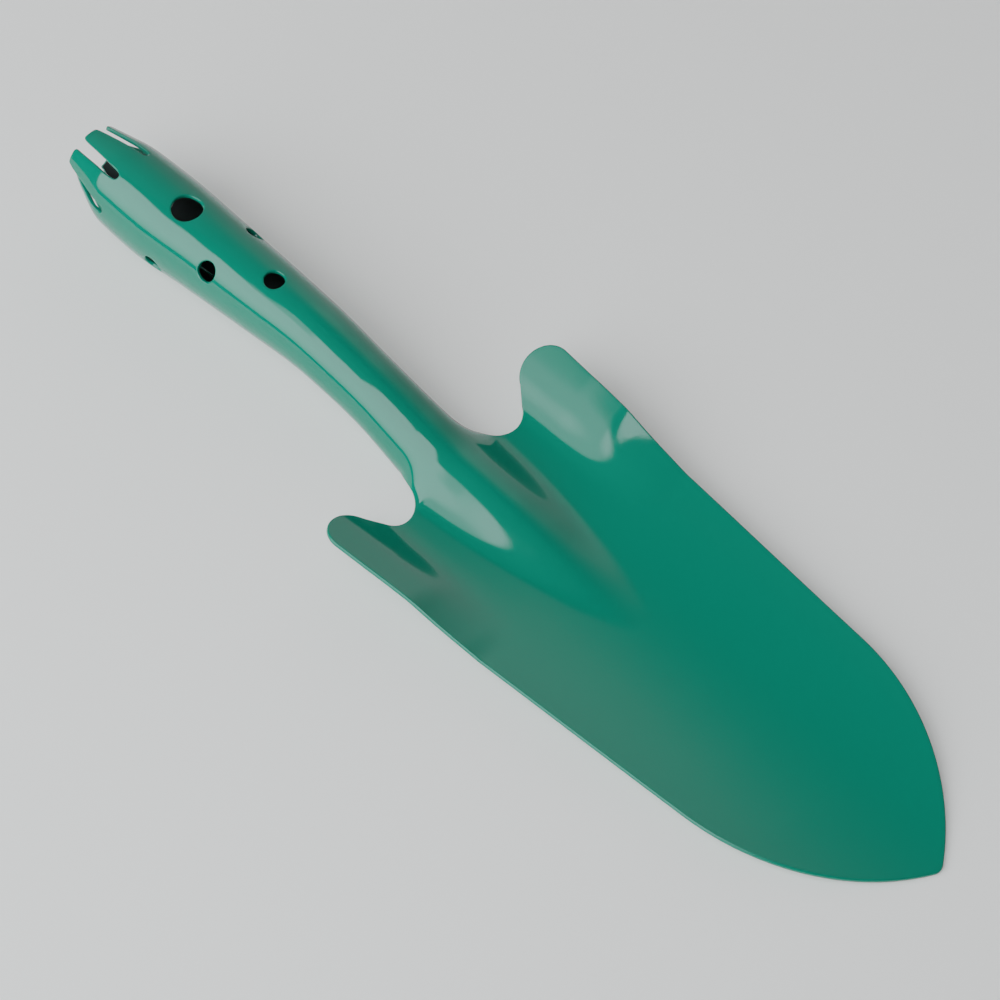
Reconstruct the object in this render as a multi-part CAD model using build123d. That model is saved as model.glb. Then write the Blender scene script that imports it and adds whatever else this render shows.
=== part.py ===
from build123d import *
import math
import os

# A hand trowel pressed and rolled from one sheet of steel, in millimetres.
#
# Working axes: s runs back from the blade's tip to the tail of the handle, y across the
# blade, z up out of the scoop. z = 0 is the middle of the blade's upper face at the tip.
# rest_on_ground() turns this into the part's own frame: +X towards the tip, +Z up, origin
# on the ground under the middle of the trowel as it lies with its scoop upwards.

# ---- sheet and overall length ----
SHEET = 1.2
LENGTH = 297.0

# ---- blade outline, from above ----
NOSE_ARC_R = 65.5
NOSE_ARC_Y = -32.0
TIP_R = 3.0
NOSE_ARC_S = TIP_R + math.sqrt((NOSE_ARC_R - TIP_R) ** 2 - NOSE_ARC_Y ** 2)
SIDE_START_S = 51.5
SIDE_TAPER = 0.0755
WING_S = 160.0
WING_R = 6.9
WING_END_DEG = 240
NOTCH_S = 162.2
NOTCH_Y = 20.0
NOTCH_R = 5.8

# ---- blade: shallow trough, wings bent up, and the ridge that runs out of the handle ----
HOLLOW_CURVES = [(0, 0.0073), (60, 0.0073), (110, 0.0078), (130, 0.0052), (150, 0.0024),
                 (163, 0.0024)]
WING_SLOPES = [(95, 0), (112, 0), (120, 0.13), (130, 0.36), (138, 0.56), (148, 0.65), (163, 0.65)]
WING_BEND_Y = 24.0
WING_BEND_SOFT = 3.0
WING_EASE_Y = 32.0
WING_EASE = 0.4
RIDGE_HALVES = [(93, 3.5), (100, 6.2), (110, 9.6), (120, 11.7), (130, 13.5), (140, 15.0),
                (150, 16.0), (158, 16.6)]

# ---- rolled handle: top line and outer radius against s ----
CREST_HEIGHTS = [(85, 0), (93, 0), (101, 0.3), (110, 1.1), (120, 2.4), (130, 4.1), (140, 5.6),
                 (150, 6.6), (158, 7.2), (170, 9.8), (190, 14.8), (213, 18.7), (235, 19.3),
                 (255, 19.5), (272, 19.3), (284, 19.0), (297, 17.1)]
TUBE_RADII = [(156, 11.8), (170, 9.8), (188, 9.1), (205, 9.5), (228, 10.7), (250, 11.9),
              (268, 12.9), (282, 12.5), (290, 10.9), (297, 9.3)]
NECK_START_S = 158.0
ROLL_START_S = 156.0
ROLL_END_S = 170.0
NECK_END_S = 188.0
WAIST_HALF = NOTCH_Y - NOTCH_R
SEAM_GAP = 0.4

# ---- holes in the handle: distance from the tip, angle round from the top, diameter ----
HANG_HOLE_S = 258.0
HANG_HOLE_D = 8.5
SMALL_HOLE_D = 5.5
SMALL_HOLES = [(260.0, 104), (260.0, -104), (241.5, 52), (241.5, -52), (224.7, 0)]
PIN_REACH = 4.0

# ---- tail fingers ----
FINGERS = 7
SLOT_ROOT_S = 280.5
SLOT_ROOT_WIDTH = 2.0
FINGER_TIP_WIDTH = 4.7
LOWER_FINGER_BEND = 2.6
LOWER_FROM_DEG = 80

# ---- how it lies ----
GROUND_PITCH_DEG = 1.43

# ---- where the sheet's cross-section is set out in each region, and with how many points ----
BLADE_STATIONS = [-8 + 7 * i for i in range(27)]
BLANK_HALF = 46.0
NECK_STATIONS = [NECK_START_S, 160, 162, 164, 166, 168, 170, 173, 176, 180, 184, NECK_END_S]
HANDLE_STATIONS = [NECK_END_S, 197, 206, 217, 228, 239, 250, 260, 268, 275, SLOT_ROOT_S]
FINGER_STATIONS = [SLOT_ROOT_S, 284, 287, 290, 292.5, 295, LENGTH]
BLADE_POINTS = 21
NECK_POINTS = 17
HANDLE_POINTS = 25
FINGER_POINTS = 7
SLOPE_STEP = 0.05
CUT_FROM_Z = -20.0
CUT_HEIGHT = 60.0

os.makedirs("parts", exist_ok=True)


def smooth_step(t):
    t = min(max(t, 0.0), 1.0)
    return t * t * (3 - 2 * t)


def through(stations, s):
    """Smooth curve through (s, value) stations, with no overshoot between them."""
    xs = [p[0] for p in stations]
    ys = [p[1] for p in stations]
    if s <= xs[0]:
        return ys[0]
    if s >= xs[-1]:
        return ys[-1]
    steps = [(ys[i + 1] - ys[i]) / (xs[i + 1] - xs[i]) for i in range(len(xs) - 1)]
    slopes = [steps[0]]
    for i in range(1, len(steps)):
        before, after = steps[i - 1], steps[i]
        rising = before * after > 0
        slopes.append(2 * before * after / (before + after) if rising else 0.0)
    slopes.append(steps[-1])
    i = max(k for k in range(len(xs) - 1) if xs[k] <= s)
    h = xs[i + 1] - xs[i]
    t = (s - xs[i]) / h
    a = (1 + 2 * t) * (1 - t) ** 2
    b = t * (1 - t) ** 2
    c = t * t * (3 - 2 * t)
    d = t * t * (t - 1)
    return a * ys[i] + b * h * slopes[i] + c * ys[i + 1] + d * h * slopes[i + 1]


def side_half_width(s):
    """Half width of the blade's nearly straight sides."""
    start = NOSE_ARC_Y + math.sqrt(NOSE_ARC_R ** 2 - (NOSE_ARC_S - SIDE_START_S) ** 2)
    return start + SIDE_TAPER * (s - SIDE_START_S)


def bend(x, soft):
    """Smooth ramp: 0 well below x = 0, and x itself well above it."""
    return (x + math.hypot(x, soft)) / 2


def wing_lift(y):
    """How far a wing of slope 1 has risen at y: bent up sharply, then easing off."""
    eased = WING_EASE * bend(y - WING_EASE_Y, WING_BEND_SOFT)
    return bend(y - WING_BEND_Y, WING_BEND_SOFT) - eased


def blade_height(s, y):
    """Upper face of the blade: a shallow trough, its wings bent up, and the ridge."""
    y = abs(y)
    lift = wing_lift(y) - wing_lift(0)
    trough = 0.5 * through(HOLLOW_CURVES, s) * y * y + through(WING_SLOPES, s) * lift
    across = min(y / through(RIDGE_HALVES, s), 1.0)
    return trough + through(CREST_HEIGHTS, s) * (1 - across * across) ** 2


def blade_skin(s, y, depth):
    """Point of the blade's sheet, a depth in from its upper face."""
    rise = blade_height(s, y + SLOPE_STEP) - blade_height(s, y - SLOPE_STEP)
    slope = rise / (2 * SLOPE_STEP)
    lean = 1 / math.hypot(slope, 1)
    return Vector(-s, y + depth * slope * lean, blade_height(s, y) - depth * lean)


def skin_point(s, v, depth):
    """Point of the sheet at s, a distance v across the flat sheet from its middle line.

    In the blade the sheet is nearly flat, in the handle it is rolled into a tube, and the
    neck passes from one to the other. The fingers low on the tube are bent in further than
    the upper ones. depth is measured in from the outer face."""
    radius = through(TUBE_RADII, s)
    axis_height = through(CREST_HEIGHTS, s) - radius
    angle = v / (radius - SHEET / 2)
    rolled = smooth_step((s - ROLL_START_S) / (ROLL_END_S - ROLL_START_S))
    reach = radius - depth
    if s > SLOT_ROOT_S and abs(angle) > math.radians(LOWER_FROM_DEG):
        reach -= LOWER_FINGER_BEND * ((s - SLOT_ROOT_S) / (LENGTH - SLOT_ROOT_S)) ** 2
    tube = Vector(-s, reach * math.sin(angle), axis_height + reach * math.cos(angle))
    if rolled >= 1:
        return tube
    return blade_skin(s, v, depth) * (1 - rolled) + tube * rolled


def sheet_half_width(s):
    """Half width of the flat sheet through the neck and handle."""
    tube_half = math.pi * (through(TUBE_RADII, s) - SHEET / 2) - SEAM_GAP / 2
    if s < NOTCH_S:
        return NOTCH_Y - math.sqrt(NOTCH_R ** 2 - (NOTCH_S - s) ** 2)
    opened = smooth_step((s - NOTCH_S) / (NECK_END_S - NOTCH_S))
    return WAIST_HALF + (tube_half - WAIST_HALF) * opened


def closed_section(outer, inner):
    edges = [Spline(*outer), Line(outer[-1], inner[-1]),
             Spline(*reversed(inner)), Line(inner[0], outer[0])]
    return Wire(edges)


def rolled_section(s, v0, v1, points):
    """Cross-section of the neck or handle sheet at s, from v0 to v1."""
    vs = [v0 + (v1 - v0) * i / (points - 1) for i in range(points)]
    return closed_section([skin_point(s, v, 0) for v in vs],
                          [skin_point(s, v, SHEET) for v in vs])


def blade_section(s, half, points):
    """Cross-section of the blade sheet at s as if it ran out to the given half width."""
    ys = [-half + 2 * half * i / (points - 1) for i in range(points)]
    return closed_section([blade_skin(s, y, 0) for y in ys],
                          [blade_skin(s, y, SHEET) for y in ys])


def polar(centre, radius, angle_deg):
    a = math.radians(angle_deg)
    return centre + Vector(math.cos(a), math.sin(a)) * radius


def blade_outline():
    """The blade from above, cut square across the waist where the neck begins."""
    nose_centre = Vector(-NOSE_ARC_S, NOSE_ARC_Y)
    tip_centre = Vector(-TIP_R, 0)
    nose_start = nose_centre + (tip_centre - nose_centre).normalized() * NOSE_ARC_R
    side_start = Vector(-SIDE_START_S, side_half_width(SIDE_START_S))
    nose_chord = (nose_start + side_start) * 0.5
    nose_mid = nose_centre + (nose_chord - nose_centre).normalized() * NOSE_ARC_R

    taper = math.degrees(math.atan(SIDE_TAPER))
    wing = Vector(-WING_S, side_half_width(WING_S) - WING_R / math.cos(math.radians(taper)))
    wing_start = polar(wing, WING_R, 90 - taper)
    wing_end = polar(wing, WING_R, WING_END_DEG)

    notch = Vector(-NOTCH_S, NOTCH_Y)
    notch_start = polar(notch, NOTCH_R, WING_END_DEG - 180)
    waist = Vector(-NECK_START_S, sheet_half_width(NECK_START_S))

    side = [ThreePointArc(nose_start, nose_mid, side_start),
            Line(side_start, wing_start),
            ThreePointArc(wing_start, polar(wing, WING_R, 170), wing_end),
            Line(wing_end, notch_start),
            ThreePointArc(notch_start, polar(notch, NOTCH_R, 0), waist)]
    mirrored = [edge.mirror(Plane.XZ) for edge in side]
    tip = ThreePointArc(nose_start, Vector(0, 0), Vector(nose_start.X, -nose_start.Y))
    cut = Line(waist, Vector(waist.X, -waist.Y))
    return Face(Wire(side + mirrored + [tip, cut]))


def make_blade():
    """Shallow pointed scoop with two rounded wings and the ridge up its middle."""
    plate = Solid.make_loft([blade_section(s, BLANK_HALF, BLADE_POINTS) for s in BLADE_STATIONS])
    outline = blade_outline().moved(Location((0, 0, CUT_FROM_Z)))
    return plate & extrude(outline, amount=CUT_HEIGHT, dir=(0, 0, 1))


def make_neck():
    """The sheet between the notches, closing from an open arch to a full tube."""
    sections = []
    for s in NECK_STATIONS:
        half = sheet_half_width(s)
        sections.append(rolled_section(s, -half, half, NECK_POINTS))
    return Solid.make_loft(sections)


def punch(s, angle_deg, diameter, direction):
    """Pin that punches one round hole through the wall at the given place."""
    v = math.radians(angle_deg) * (through(TUBE_RADII, s) - SHEET / 2)
    start = skin_point(s, v, 0) - direction * PIN_REACH
    return Solid.make_cylinder(diameter / 2, 2 * PIN_REACH, Plane(origin=start, z_dir=direction))


def make_handle():
    """Rolled tube with its seam underneath and the punched holes near the tail."""
    sections = []
    for s in HANDLE_STATIONS:
        half = sheet_half_width(s)
        sections.append(rolled_section(s, -half, half, HANDLE_POINTS))
    tube = Solid.make_loft(sections)
    for s, angle_deg in SMALL_HOLES:
        a = math.radians(angle_deg)
        tube = tube - punch(s, angle_deg, SMALL_HOLE_D, Vector(0, math.sin(a), math.cos(a)))

    # The hanging hole stands upright as the trowel lies, so it takes a straight hook.
    pitch = math.radians(GROUND_PITCH_DEG)
    upright = Vector(-math.sin(pitch), 0, math.cos(pitch))
    return tube - punch(HANG_HOLE_S, 0, HANG_HOLE_D, upright)


def make_finger(index):
    """One of the tail fingers left between the slots and bent in to close the end."""
    centre = math.radians((index - (FINGERS - 1) / 2) * 360 / FINGERS)
    root_pitch = 2 * math.pi * (through(TUBE_RADII, SLOT_ROOT_S) - SHEET / 2) / FINGERS
    root_width = root_pitch - SLOT_ROOT_WIDTH
    sections = []
    for s in FINGER_STATIONS:
        middle = centre * (through(TUBE_RADII, s) - SHEET / 2)
        done = (s - SLOT_ROOT_S) / (LENGTH - SLOT_ROOT_S)
        half = (root_width + (FINGER_TIP_WIDTH - root_width) * done) / 2
        sections.append(rolled_section(s, middle - half, middle + half, FINGER_POINTS))
    return Solid.make_loft(sections)


def rest_on_ground(shapes):
    """Tip the trowel nose down until blade and handle touch the ground, and centre it."""
    tipped = [shape.solid().rotate(Axis.Y, GROUND_PITCH_DEG) for shape in shapes.values()]
    box = Compound(tipped).bounding_box()
    shift = Vector(-box.center().X, -box.center().Y, -box.min.Z)
    return {name: shape.moved(Location(shift)) for name, shape in zip(shapes, tipped)}


shapes = {"blade": make_blade(), "neck": make_neck(), "handle_tube": make_handle()}
for i in range(FINGERS):
    shapes[f"tail_finger_{i + 1}"] = make_finger(i)
shapes = rest_on_ground(shapes)

for name, shape in shapes.items():
    export_step(shape, f"parts/{name}.step")
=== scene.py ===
import math

import bpy
import numpy as np
from mathutils import Matrix, Vector
from mathutils.geometry import delaunay_2d_cdt


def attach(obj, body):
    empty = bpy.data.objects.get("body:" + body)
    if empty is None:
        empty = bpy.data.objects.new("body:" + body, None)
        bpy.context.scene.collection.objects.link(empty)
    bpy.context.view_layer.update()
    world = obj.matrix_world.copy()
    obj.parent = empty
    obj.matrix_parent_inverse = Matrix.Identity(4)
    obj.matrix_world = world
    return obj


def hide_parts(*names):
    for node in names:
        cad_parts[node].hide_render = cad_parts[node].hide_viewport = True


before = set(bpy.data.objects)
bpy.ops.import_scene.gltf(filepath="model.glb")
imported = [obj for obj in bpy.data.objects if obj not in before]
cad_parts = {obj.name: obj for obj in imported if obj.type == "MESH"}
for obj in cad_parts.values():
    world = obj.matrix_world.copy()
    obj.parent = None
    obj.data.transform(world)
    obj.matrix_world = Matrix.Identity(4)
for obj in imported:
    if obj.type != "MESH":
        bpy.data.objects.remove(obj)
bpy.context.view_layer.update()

# The trowel is one enamelled sheet, so it is rebuilt here as one continuous skin: its flat
# blank is cut out, meshed, and bent into shape. s runs back from the blade's tip and v across
# the blank. Lengths are in millimetres until the mesh is made, in working axes (x = -s, y
# across the blade, z up) that tip_over() turns into the row's.

# ---- sheet and overall length ----
SHEET = 1.2
EDGE_ROUND = 0.42
LENGTH = 297.0

# ---- blade outline, from above ----
NOSE_ARC_R = 65.5
NOSE_ARC_Y = -32.0
TIP_R = 3.0
NOSE_ARC_S = TIP_R + math.sqrt((NOSE_ARC_R - TIP_R) ** 2 - NOSE_ARC_Y ** 2)
SIDE_START_S = 51.5
SIDE_TAPER = 0.0755
WING_S = 160.0
WING_R = 6.9
WING_END_DEG = 240
NOTCH_S = 162.2
NOTCH_Y = 20.0
NOTCH_R = 5.8

# ---- blade: shallow trough, wings bent up, and the ridge that runs out of the handle ----
HOLLOW_CURVES = [(0, 0.0073), (60, 0.0073), (110, 0.0078), (130, 0.0052), (150, 0.0024),
                 (163, 0.0024)]
WING_SLOPES = [(95, 0), (112, 0), (120, 0.13), (130, 0.36), (138, 0.56), (148, 0.65), (163, 0.65)]
WING_BEND_Y = 24.0
WING_BEND_SOFT = 3.0
WING_EASE_Y = 32.0
WING_EASE = 0.4
RIDGE_HALVES = [(93, 3.5), (100, 6.2), (110, 9.6), (120, 11.7), (130, 13.5), (140, 15.0),
                (150, 16.0), (158, 16.6)]

# ---- rolled handle: top line and outer radius against s ----
CREST_HEIGHTS = [(85, 0), (93, 0), (101, 0.3), (110, 1.1), (120, 2.4), (130, 4.1), (140, 5.6),
                 (150, 6.6), (158, 7.2), (170, 9.8), (190, 14.8), (213, 18.7), (235, 19.3),
                 (255, 19.5), (272, 19.3), (284, 19.0), (297, 17.1)]
TUBE_RADII = [(156, 11.8), (170, 9.8), (188, 9.1), (205, 9.5), (228, 10.7), (250, 11.9),
              (268, 12.9), (282, 12.5), (290, 10.9), (297, 9.3)]
ROLL_START_S = 156.0
ROLL_END_S = 170.0
WINGS_END_S = 172.0
NECK_END_S = 188.0
WAIST_HALF = NOTCH_Y - NOTCH_R
SEAM_GAP = 0.1

# ---- punched holes: distance from the tip, angle round from the top, diameter ----
HOLES = [(258.0, 0, 8.5), (260.0, 104, 5.5), (260.0, -104, 5.5), (241.5, 52, 5.5),
         (241.5, -52, 5.5), (224.7, 0, 5.5)]
PUNCH_SINK = 0.02
PUNCH_SINK_FALL = 1.6

# ---- tail fingers ----
FINGERS = 7
SLOT_ROOT_S = 280.5
SLOT_ROOT_WIDTH = 2.0
FINGER_TIP_WIDTH = 4.7
LOWER_FINGER_BEND = 2.6
LOWER_FROM_DEG = 80
FINGER_CORNER_R = 0.9

# ---- how it lies ----
GROUND_PITCH_DEG = 1.43

# ---- mesh: spacing of points in the plain blade, in the ridge and handle, and on edges ----
BLADE_STEP = 1.5
HANDLE_STEP = 0.9
EDGE_STEP = 0.6
HOLE_STEP = EDGE_STEP * 0.6
EDGE_CLEARANCE = EDGE_STEP * 0.75
FINE_FROM_S = 93.0
GRID_HALF = 45
ROW_RATIO = 0.866
ARC_STEP = 0.1
EDGE_TURNS_DEG = [22.5, 45, 67.5, 90, 90, 112.5, 135, 157.5]


# ---------------------------------------------------------------- shape of the bent sheet
def smooth_step(t):
    t = np.clip(t, 0.0, 1.0)
    return t * t * (3 - 2 * t)


def through(stations, s):
    """Smooth curve through (s, value) stations, with no overshoot between them."""
    xs = np.array([p[0] for p in stations], float)
    ys = np.array([p[1] for p in stations], float)
    steps = np.diff(ys) / np.diff(xs)
    slopes = np.zeros(len(xs))
    slopes[0], slopes[-1] = steps[0], steps[-1]
    for i in range(1, len(steps)):
        before, after = steps[i - 1], steps[i]
        if before * after > 0:
            slopes[i] = 2 * before * after / (before + after)
    s = np.clip(s, xs[0], xs[-1])
    i = np.clip(np.searchsorted(xs, s, side="right") - 1, 0, len(xs) - 2)
    h = xs[i + 1] - xs[i]
    t = (s - xs[i]) / h
    return ((1 + 2 * t) * (1 - t) ** 2 * ys[i] + t * (1 - t) ** 2 * h * slopes[i]
            + t * t * (3 - 2 * t) * ys[i + 1] + t * t * (t - 1) * h * slopes[i + 1])


def bend(x, soft):
    """Smooth ramp: 0 well below x = 0, and x itself well above it."""
    return (x + np.sqrt(x * x + soft * soft)) / 2


def wing_lift(y):
    """How far a wing of slope 1 has risen at y: bent up sharply, then easing off."""
    eased = WING_EASE * bend(y - WING_EASE_Y, WING_BEND_SOFT)
    return bend(y - WING_BEND_Y, WING_BEND_SOFT) - eased


def blade_height(s, y):
    """Upper face of the blade: a shallow trough, its wings bent up, and the ridge."""
    y = np.abs(y)
    lift = wing_lift(y) - wing_lift(0)
    trough = 0.5 * through(HOLLOW_CURVES, s) * y * y + through(WING_SLOPES, s) * lift
    across = np.minimum(y / through(RIDGE_HALVES, s), 1.0)
    return trough + through(CREST_HEIGHTS, s) * (1 - across ** 2) ** 2


def tube_mid_radius(s):
    return through(TUBE_RADII, s) - SHEET / 2


def outer_face(s, v):
    """Outer (upper) face of the sheet: flat blade, rolled handle, and the neck between."""
    crest = through(CREST_HEIGHTS, s)
    radius = through(TUBE_RADII, s)
    rolled = smooth_step((s - ROLL_START_S) / (ROLL_END_S - ROLL_START_S))
    sink = np.zeros(np.shape(s))
    for hole_s, degrees, diameter in HOLES:
        hole_v = math.radians(degrees) * tube_mid_radius(hole_s)
        away = ((s - hole_s) ** 2 + (v - hole_v) ** 2) / diameter ** 2
        sink = sink + PUNCH_SINK * diameter * np.exp(-away * PUNCH_SINK_FALL)

    # The wings reach back past the waist and aren't rolled.
    rolled = np.where(np.abs(v) > NOTCH_Y, np.where(s > WINGS_END_S, 1.0, 0.0), rolled)
    angle = v / (radius - SHEET / 2)

    # The fingers low on the tube are bent in further than the upper ones.
    bent = np.clip((s - SLOT_ROOT_S) / (LENGTH - SLOT_ROOT_S), 0, 1) ** 2
    sink = sink + LOWER_FINGER_BEND * bent * (np.abs(angle) > math.radians(LOWER_FROM_DEG))
    reach = radius - sink
    y = (1 - rolled) * v + rolled * reach * np.sin(angle)
    z = (1 - rolled) * blade_height(s, v) + rolled * (crest - radius + reach * np.cos(angle))
    return np.stack([-s, y, z], -1)


def sheet_frame(s, v):
    """Outer face, its unit normal, and how it stretches along s and v."""
    e = 0.02
    along = (outer_face(s + e, v) - outer_face(s - e, v)) / (2 * e)
    across = (outer_face(s, v + e) - outer_face(s, v - e)) / (2 * e)
    normal = np.cross(across, along)
    normal /= np.linalg.norm(normal, axis=-1, keepdims=True)
    return outer_face(s, v), normal, along, across


# ---------------------------------------------------------------- outline of the flat blank
def arc(centre, radius, start_deg, end_deg):
    """Points along an arc in the (s, v) plane, closely spaced."""
    count = max(8, int(abs(math.radians(end_deg - start_deg)) * radius / ARC_STEP))
    a = np.radians(np.linspace(start_deg, end_deg, count))
    return np.stack([centre[0] + radius * np.cos(a), centre[1] + radius * np.sin(a)], -1)


def sheet_half_width(s):
    """Half width of the blank along the neck and handle, behind the waist."""
    tube_half = math.pi * tube_mid_radius(s) - SEAM_GAP / 2
    opened = smooth_step((s - NOTCH_S) / (NECK_END_S - NOTCH_S))
    return WAIST_HALF + (tube_half - WAIST_HALF) * opened


def side_half_width(s):
    """Half width of the blade's nearly straight sides."""
    start = NOSE_ARC_Y + math.sqrt(NOSE_ARC_R ** 2 - (NOSE_ARC_S - SIDE_START_S) ** 2)
    return start + SIDE_TAPER * (s - SIDE_START_S)


def blade_edge():
    """Edge of the blade on the +v side, from the tip to the waist."""
    nose = (NOSE_ARC_S, NOSE_ARC_Y)
    join = math.degrees(math.atan2(-NOSE_ARC_Y, TIP_R - NOSE_ARC_S))
    shoulder = math.degrees(math.atan2(side_half_width(SIDE_START_S) - NOSE_ARC_Y,
                                       SIDE_START_S - NOSE_ARC_S))
    taper = math.degrees(math.atan(SIDE_TAPER))
    wing = (WING_S, side_half_width(WING_S) - WING_R / math.cos(math.radians(taper)))
    turn = 180 - WING_END_DEG
    return [arc((TIP_R, 0), TIP_R, 180, join)[:-1],
            arc(nose, NOSE_ARC_R, join, shoulder)[:-1],
            arc(wing, WING_R, 90 + taper, turn),
            arc((NOTCH_S, NOTCH_Y), NOTCH_R, turn + 180, 270)]


def finger_edges():
    """Edges of the tail fingers, from the seam side on +v across to the seam on -v."""
    root_mid = tube_mid_radius(SLOT_ROOT_S)
    root_half = (2 * math.pi * root_mid / FINGERS - SLOT_ROOT_WIDTH) / 2
    tip_half = FINGER_TIP_WIDTH / 2

    def half(s):
        return root_half + (tip_half - root_half) * (s - SLOT_ROOT_S) / (LENGTH - SLOT_ROOT_S)

    parts = []
    for k in range(FINGERS - 1, -1, -1):
        centre = math.radians((k - (FINGERS - 1) / 2) * 360 / FINGERS)
        s = np.linspace(SLOT_ROOT_S, LENGTH - FINGER_CORNER_R, 60)
        middle = centre * tube_mid_radius(s)
        end_mid = centre * tube_mid_radius(LENGTH)
        corner = (LENGTH - FINGER_CORNER_R, end_mid + tip_half - FINGER_CORNER_R)
        other = (LENGTH - FINGER_CORNER_R, end_mid - tip_half + FINGER_CORNER_R)
        parts.append(np.stack([s, middle + half(s)], -1)[:-4])
        parts.append(arc(corner, FINGER_CORNER_R, 80, 0))
        parts.append(arc(other, FINGER_CORNER_R, 0, -80))
        parts.append(np.stack([s, middle - half(s)], -1)[:-4][::-1])
        if k > 0:
            slot = centre * root_mid - math.pi * root_mid / FINGERS
            parts.append(arc((SLOT_ROOT_S, slot), SLOT_ROOT_WIDTH / 2, 90, 270)[1:-1])
    return parts


def blank_outline():
    """Closed outline of the blank in the (s, v) plane."""
    side = blade_edge()
    s = np.linspace(NOTCH_S, SLOT_ROOT_S, 800)[1:-1]
    side.append(np.stack([s, sheet_half_width(s)], -1))
    side = np.concatenate(side)
    mirrored = (side * [1, -1])[::-1]
    return np.concatenate([side] + finger_edges() + [mirrored[:-1]])


def evenly(points, step):
    """The closed line through the points, divided again at an even spacing."""
    loop = np.concatenate([points, points[:1]])
    run = np.concatenate([[0], np.cumsum(np.linalg.norm(np.diff(loop, axis=0), axis=1))])
    at = np.linspace(0, run[-1], int(run[-1] / step), endpoint=False)
    return np.stack([np.interp(at, run, loop[:, i]) for i in (0, 1)], -1)


def signed_area(loop):
    """Twice the area inside a closed loop, negative if it runs the other way round."""
    after = np.roll(loop, -1, axis=0)
    return np.sum(loop[:, 0] * after[:, 1] - after[:, 0] * loop[:, 1])


def outward(loop, hole):
    """Unit normals in the (s, v) plane that point off the metal."""
    t = np.roll(loop, -1, axis=0) - np.roll(loop, 1, axis=0)
    n = np.stack([t[:, 1], -t[:, 0]], -1)
    n /= np.linalg.norm(n, axis=1)[:, None]
    sign = 1 if signed_area(loop) > 0 else -1
    return n * (-sign if hole else sign)


def cut_loops():
    """Every cut edge of the blank, with its normals, and whether it is a punched hole."""
    loops = [(evenly(blank_outline(), EDGE_STEP), False)]
    for s, degrees, diameter in HOLES:
        v = math.radians(degrees) * float(tube_mid_radius(s))
        ring = evenly(arc((s, v), diameter / 2, 0, 360)[:-1], HOLE_STEP)
        loops.append((ring, True))
    return [(loop, outward(loop, hole), hole) for loop, hole in loops]


# ---------------------------------------------------------------- meshing
def inside(points, loop):
    """Even-odd test of many points against one closed loop."""
    hit = np.zeros(len(points), bool)
    for (s0, v0), (s1, v1) in zip(loop, np.roll(loop, -1, axis=0)):
        if v0 == v1:
            continue
        band = (points[:, 1] >= min(v0, v1)) & (points[:, 1] < max(v0, v1))
        cross = s0 + (points[:, 1] - v0) / (v1 - v0) * (s1 - s0)
        hit ^= band & (points[:, 0] < cross)
    return hit


def grid(step, s_low, s_high):
    """Staggered rows of points, a triangular grid over the blank."""
    rows = np.arange(s_low, s_high, step * ROW_RATIO)
    cols = np.arange(-GRID_HALF, GRID_HALF + step, step)
    s, v = np.meshgrid(rows, cols, indexing="ij")
    v = v + (np.arange(len(rows)) % 2)[:, None] * step / 2
    return np.stack([s.ravel(), v.ravel()], -1)


def fill_points(rims):
    """Points spread over the metal, clear of every cut edge."""
    points = np.concatenate([grid(BLADE_STEP, 0, FINE_FROM_S),
                             grid(HANDLE_STEP, FINE_FROM_S, LENGTH)])
    points = points[inside(points, rims[0])]
    edge = np.concatenate(rims)
    gap = np.empty(len(points))
    batch = 2000
    for i in range(0, len(points), batch):
        d = points[i:i + batch, None, :] - edge[None]
        gap[i:i + batch] = np.sqrt((d ** 2).sum(-1).min(1))
    keep = gap > EDGE_CLEARANCE
    for rim in rims[1:]:
        keep &= ~inside(points, rim)
    return points[keep]


def triangulate(rims):
    """Triangles over the metal, with each rim kept as a line of the mesh."""
    points = []
    edges = []
    for rim in rims:
        start = len(points)
        points += [tuple(p) for p in rim]
        edges += [(start + i, start + (i + 1) % len(rim)) for i in range(len(rim))]
    points += [tuple(p) for p in fill_points(rims)]
    only_inside, tolerance = 1, 1e-5
    out = delaunay_2d_cdt([Vector(p) for p in points], edges, [], only_inside, tolerance)
    coords = np.array([tuple(p) for p in out[0]])
    faces = np.array([f for f in out[2] if len(f) == 3])
    middle = coords[faces].mean(1)
    keep = np.ones(len(faces), bool)
    for rim in rims[1:]:
        keep &= ~inside(middle, rim)
    return coords, faces[keep]


def rounded_edge(place, normal, off):
    """Rows of points and normals that round a cut edge over from the outer to the inner face."""
    rows, normals = [], []
    for i, degrees in enumerate(EDGE_TURNS_DEG):
        a = math.radians(degrees)
        if i < len(EDGE_TURNS_DEG) / 2:
            depth = EDGE_ROUND * (1 - math.cos(a))
        else:
            depth = SHEET - EDGE_ROUND * (1 + math.cos(a))
        rows.append(place + off * EDGE_ROUND * math.sin(a) - normal * depth)
        normals.append(normal * math.cos(a) + off * math.sin(a))
    return rows, normals


def strips(rows, forward):
    """Quads between each row of a closed edge and the next."""
    polys = []
    for a, b in zip(rows, rows[1:]):
        quads = np.stack([a, b, np.roll(b, -1), np.roll(a, -1)], -1)
        quads = quads if forward else quads[:, ::-1]
        polys += [tuple(int(i) for i in q) for q in quads]
    return polys


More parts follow.
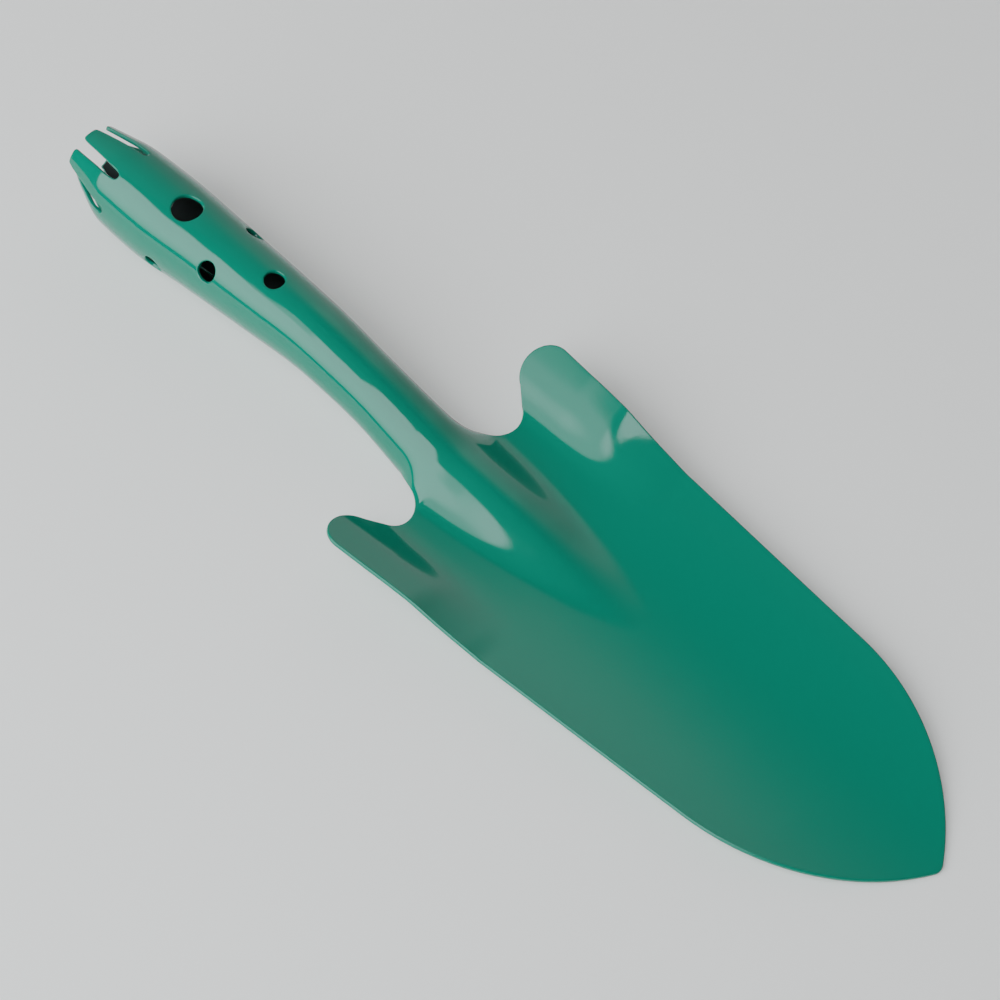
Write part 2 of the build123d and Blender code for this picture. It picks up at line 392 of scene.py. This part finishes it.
def build_skin():
    """The whole trowel: outer face, inner face and the rounded cut edges between them.

    Gives the points, their normals, the faces, and 1 for each point inside the tube, where shade
    is painted into the enamel."""
    loops = cut_loops()
    coords, faces = triangulate([loop - n * EDGE_ROUND for loop, n, hole in loops])
    place, normal, along, across = sheet_frame(coords[:, 0], coords[:, 1])
    flip = np.cross(coords[faces[0, 1]] - coords[faces[0, 0]],
                    coords[faces[0, 2]] - coords[faces[0, 0]]) > 0
    upper = faces[:, ::-1] if flip else faces
    count = len(coords)
    verts = [place, place - normal * SHEET]
    normals = [normal, -normal]
    polys = [tuple(f) for f in upper] + [tuple(int(i) + count for i in f[::-1]) for f in upper]
    total = 2 * count
    start = 0
    for loop, n, hole in loops:
        size = len(loop)
        at = slice(start, start + size)
        off = along[at] * n[:, :1] + across[at] * n[:, 1:]
        off -= normal[at] * (off * normal[at]).sum(1)[:, None]
        off /= np.linalg.norm(off, axis=1)[:, None]
        edge_verts, edge_normals = rounded_edge(place[at], normal[at], off)
        verts += edge_verts
        normals += edge_normals
        rows = [np.arange(start, start + size)]
        for _ in edge_verts:
            rows.append(np.arange(total, total + size))
            total += size
        rows.append(np.arange(start + count, start + size + count))
        polys += strips(rows, (signed_area(loop) < 0) != hole)
        start += size
    # The inner face of the tube is marked for the shade painted there.
    hollow = np.zeros(total)
    hollow[count:2 * count] = coords[:, 0] > NECK_END_S
    return np.concatenate(verts), np.concatenate(normals), polys, hollow


def tip_over(vectors):
    """Turn from the working axes to the row's, nose down until blade and neck touch."""
    a = math.radians(GROUND_PITCH_DEG)
    turn = np.array([[math.cos(a), 0, math.sin(a)], [0, 1, 0], [-math.sin(a), 0, math.cos(a)]])
    return np.asarray(vectors) @ turn.T


def make_skin():
    """The skin as an object, and the shift that centred it on the ground."""
    points, normals, polys, hollow = build_skin()
    points, normals = tip_over(points), tip_over(normals)
    low, high = points.min(0), points.max(0)
    shift = np.array([-(low[0] + high[0]) / 2, 0, -low[2]])
    mesh = bpy.data.meshes.new("trowel_skin")
    mesh.from_pydata([tuple(p) for p in (points + shift) / 1000], [], polys)
    mesh.polygons.foreach_set("use_smooth", [True] * len(mesh.polygons))
    mesh.normals_split_custom_set_from_vertices([tuple(n) for n in normals])
    # Mask for the shade painted into the enamel inside the tube.
    inside_tube = mesh.attributes.new("hollow", "FLOAT", "POINT")
    inside_tube.data.foreach_set("value", hollow.astype(np.float32))
    skin = bpy.data.objects.new("trowel_skin", mesh)
    bpy.context.scene.collection.objects.link(skin)
    return skin, shift


# ---------------------------------------------------------------- materials
GREEN = (0.0, 0.19, 0.12)
GREEN_ROUGHNESS = 0.07
# Painted shade: the near-black colour given to the inside of the tube.
INSIDE_PAINTED_SHADE = (0.004, 0.008, 0.007)
INSIDE_ROUGHNESS = 0.55
PEEL_SCALE = 1300
PEEL_SHARE = 0.12
WAVE_SCALE = 90
BUMP_DISTANCE = 0.00003


def plain(name, colour, roughness):
    """A material of one colour and roughness, and its shader to build on."""
    mat = bpy.data.materials.new(name)
    mat.use_nodes = True
    shader = mat.node_tree.nodes["Principled BSDF"]
    shader.inputs["Base Color"].default_value = (*colour, 1)
    shader.inputs["Roughness"].default_value = roughness
    return mat, shader


def paint_shade_and_dull_inside(nodes, links, shader):
    """Paint shade into the enamel inside the tube: a near-black colour there, and a dull
    roughness.
    """
    hollow = nodes.new("ShaderNodeAttribute")
    hollow.attribute_name = "hollow"
    colour = nodes.new("ShaderNodeValToRGB")
    colour.color_ramp.elements[0].color = (*GREEN, 1)
    colour.color_ramp.elements[1].color = (*INSIDE_PAINTED_SHADE, 1)
    dulling = nodes.new("ShaderNodeMapRange")
    dulling.inputs["To Min"].default_value = GREEN_ROUGHNESS
    dulling.inputs["To Max"].default_value = INSIDE_ROUGHNESS
    links.new(hollow.outputs["Fac"], colour.inputs["Fac"])
    links.new(hollow.outputs["Fac"], dulling.inputs["Value"])
    links.new(colour.outputs["Color"], shader.inputs["Base Color"])
    links.new(dulling.outputs["Result"], shader.inputs["Roughness"])


def orange_peel(nodes, links, shader):
    """Fine orange-peel over a slow waviness, as bump."""
    coords = nodes.new("ShaderNodeTexCoord")
    peel = nodes.new("ShaderNodeTexNoise")
    peel.inputs["Scale"].default_value = PEEL_SCALE
    peel.inputs["Detail"].default_value = 1.0
    waves = nodes.new("ShaderNodeTexNoise")
    waves.inputs["Scale"].default_value = WAVE_SCALE
    waves.inputs["Detail"].default_value = 0.0
    both = nodes.new("ShaderNodeMath")
    both.operation = "MULTIPLY_ADD"
    both.inputs[1].default_value = PEEL_SHARE
    bump = nodes.new("ShaderNodeBump")
    bump.inputs["Strength"].default_value = 1.0
    bump.inputs["Distance"].default_value = BUMP_DISTANCE
    links.new(coords.outputs["Object"], peel.inputs["Vector"])
    links.new(coords.outputs["Object"], waves.inputs["Vector"])
    links.new(peel.outputs["Fac"], both.inputs[0])
    links.new(waves.outputs["Fac"], both.inputs[2])
    links.new(both.outputs["Value"], bump.inputs["Height"])
    links.new(bump.outputs["Normal"], shader.inputs["Normal"])


def enamel():
    """Glossy green stove enamel outside; inside the tube, painted shade (near-black colour) and a
    dull roughness.
    """
    mat, shader = plain("green_enamel", GREEN, GREEN_ROUGHNESS)
    nodes, links = mat.node_tree.nodes, mat.node_tree.links
    paint_shade_and_dull_inside(nodes, links, shader)
    orange_peel(nodes, links, shader)
    return mat


# ---------------------------------------------------------------- stage, lights and camera
CAMERA_AZ = math.radians(40.95)
CAMERA_EL = math.radians(57.58)
CAMERA_ROLL = math.radians(3.28)
CAMERA_DISTANCE = 646.3
CAMERA_TARGET = (-144.34, 1.38, 0.0)
LENS = 91.41

FLOOR_HALF = 3.0
FLOOR_GLOW = 0.2
WORLD_GLOW = 0.02
PANEL_POINTS = 60
SOFTBOX_GLOW = 5.4
SOFTBOX_COLOUR = (0.82, 0.97, 1.0)

# The camera's right, straight away from it along the floor, and up.
RIGHT = np.array([math.cos(CAMERA_AZ), math.sin(CAMERA_AZ), 0.0])
AWAY = np.array([-math.sin(CAMERA_AZ), math.cos(CAMERA_AZ), 0.0])
UP = np.array([0.0, 0.0, 1.0])


def make_camera(shift):
    """Camera at the photograph's angle, set out in the working axes and tipped with them."""
    forward = AWAY * math.cos(CAMERA_EL) - UP * math.sin(CAMERA_EL)
    upward = np.cross(RIGHT, forward)
    c, s = math.cos(CAMERA_ROLL), math.sin(CAMERA_ROLL)
    right, upward = RIGHT * c + upward * s, upward * c - RIGHT * s
    place = np.array(CAMERA_TARGET) - forward * CAMERA_DISTANCE
    axes = tip_over([right, upward, -forward])
    place = (tip_over(place) + shift) / 1000
    data = bpy.data.cameras.new("photo_camera")
    data.sensor_width = 36
    data.lens = LENS
    data.clip_start, data.clip_end = 0.01, 20
    cam = bpy.data.objects.new("photo_camera", data)
    matrix = Matrix.Identity(4)
    for column in range(3):
        for row in range(3):
            matrix[row][column] = axes[column][row]
    matrix.translation = place
    cam.matrix_world = matrix
    bpy.context.scene.collection.objects.link(cam)
    bpy.context.scene.camera = cam


def facing(azimuth, elevation):
    """Direction from the trowel: azimuth 0 is straight away from the viewer, 90 right."""
    a, e = math.radians(azimuth), math.radians(elevation)
    return (RIGHT * math.sin(a) + AWAY * math.cos(a)) * math.cos(e) + UP * math.sin(e)


def stage_mesh(name, points, faces, mat):
    """A mesh that is part of the stage, not of the trowel."""
    mesh = bpy.data.meshes.new(name)
    mesh.from_pydata([tuple(p) for p in points], [], faces)
    mesh.materials.append(mat)
    obj = bpy.data.objects.new(name, mesh)
    bpy.context.scene.collection.objects.link(obj)
    return obj


def make_floor():
    mat, shader = plain("paper", (0.88, 0.79, 0.77), 0.9)
    shader.inputs["Specular IOR Level"].default_value = 0.1
    shader.inputs["Emission Color"].default_value = (1.0, 1.0, 1.0, 1)
    shader.inputs["Emission Strength"].default_value = FLOOR_GLOW
    half = FLOOR_HALF
    corners = [(-half, -half, 0), (half, -half, 0), (half, half, 0), (-half, half, 0)]
    stage_mesh("floor", corners, [(0, 1, 2, 3)], mat)


def glow_material(name, colour):
    """Light that comes from the mesh's own glow attribute."""
    mat = bpy.data.materials.new(name)
    mat.use_nodes = True
    nodes, links = mat.node_tree.nodes, mat.node_tree.links
    nodes.clear()
    level = nodes.new("ShaderNodeAttribute")
    level.attribute_name = "glow"
    lamp = nodes.new("ShaderNodeEmission")
    lamp.inputs["Color"].default_value = (*colour, 1)
    out = nodes.new("ShaderNodeOutputMaterial")
    links.new(level.outputs["Fac"], lamp.inputs["Strength"])
    links.new(lamp.outputs["Emission"], out.inputs["Surface"])
    return mat


def glow_panel(name, towards, distance, half_u, half_w, glow, colour):
    """A lamp: a flat panel facing the trowel that shines as brightly as glow says."""
    centre = towards * distance
    side = np.cross(towards, UP)
    side /= np.linalg.norm(side)
    rise = np.cross(side, towards)
    points, levels = [], []
    for w in np.linspace(-half_w, half_w, PANEL_POINTS):
        for u in np.linspace(-half_u, half_u, PANEL_POINTS):
            point = centre + side * u + rise * w
            points.append(point)
            levels.append(glow(u / distance, w / distance, point))
    faces = []
    for i in range(PANEL_POINTS - 1):
        for j in range(PANEL_POINTS - 1):
            k = i * PANEL_POINTS + j
            faces.append((k, k + PANEL_POINTS, k + PANEL_POINTS + 1, k + 1))
    panel = stage_mesh(name, points, faces, glow_material(name, colour))
    attribute = panel.data.attributes.new("glow", "FLOAT", "POINT")
    attribute.data.foreach_set("value", np.array(levels, np.float32))


def between(x, low, high, soft):
    """1 between low and high, falling softly to 0 over the width soft outside them."""
    return float(smooth_step((x - low) / soft + 1) * smooth_step((high - x) / soft + 1))


def softbox_glow(u, w, point):
    """Softbox on the near left, with a narrower wing reaching up over the trowel.

    u and w run right and up the panel, in parts of its distance."""
    left_top = 0.18 + max(u - 0.3, 0) * 0.55
    left = between(u, -0.5, 0.64, 0.06) * between(w, -0.62, left_top, 0.05)
    wing_top = 0.4 + 0.5 * float(smooth_step((-0.04 - u) / 0.1))
    wing = between(u, -0.55, 0.33, 0.05) * between(w, 0.0, wing_top, 0.08)
    dimmer = 0.45 * float(smooth_step((u - 0.04) / 0.08) * smooth_step((w - 0.12) / 0.12))
    level = SOFTBOX_GLOW * float(smooth_step((w + 1.1) / 0.9))
    return max(left, wing * (1 - dimmer)) * level


def backdrop_glow(u, w, point):
    """White sweep behind, brightest low down and a little to the right."""
    away, across = float(point @ AWAY), float(point @ RIGHT)
    azimuth = math.degrees(math.atan2(across, away))
    elevation = math.degrees(math.atan2(point[2], math.hypot(away, across)))
    fade = float(smooth_step((71 - elevation) / 32))
    return fade * (0.3 + 0.7 * math.exp(-((azimuth - 21) / 17) ** 2))


def make_lights():
    softbox = RIGHT * -0.62 + AWAY * -0.42 + UP * 0.66
    softbox /= np.linalg.norm(softbox)
    glow_panel("softbox", softbox, 1.0, 0.65, 1.05, softbox_glow, SOFTBOX_COLOUR)
    glow_panel("backdrop", facing(15, 38), 1.2, 1.5, 1.1, backdrop_glow, (1.0, 1.0, 1.0))
    world = bpy.data.worlds.new("studio")
    world.use_nodes = True
    background = world.node_tree.nodes["Background"]
    background.inputs["Color"].default_value = (1, 1, 1, 1)
    background.inputs["Strength"].default_value = WORLD_GLOW
    bpy.context.scene.world = world


skin, skin_shift = make_skin()
skin.data.materials.append(enamel())
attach(skin, "root")
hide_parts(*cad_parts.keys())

make_floor()
make_lights()
make_camera(skin_shift)
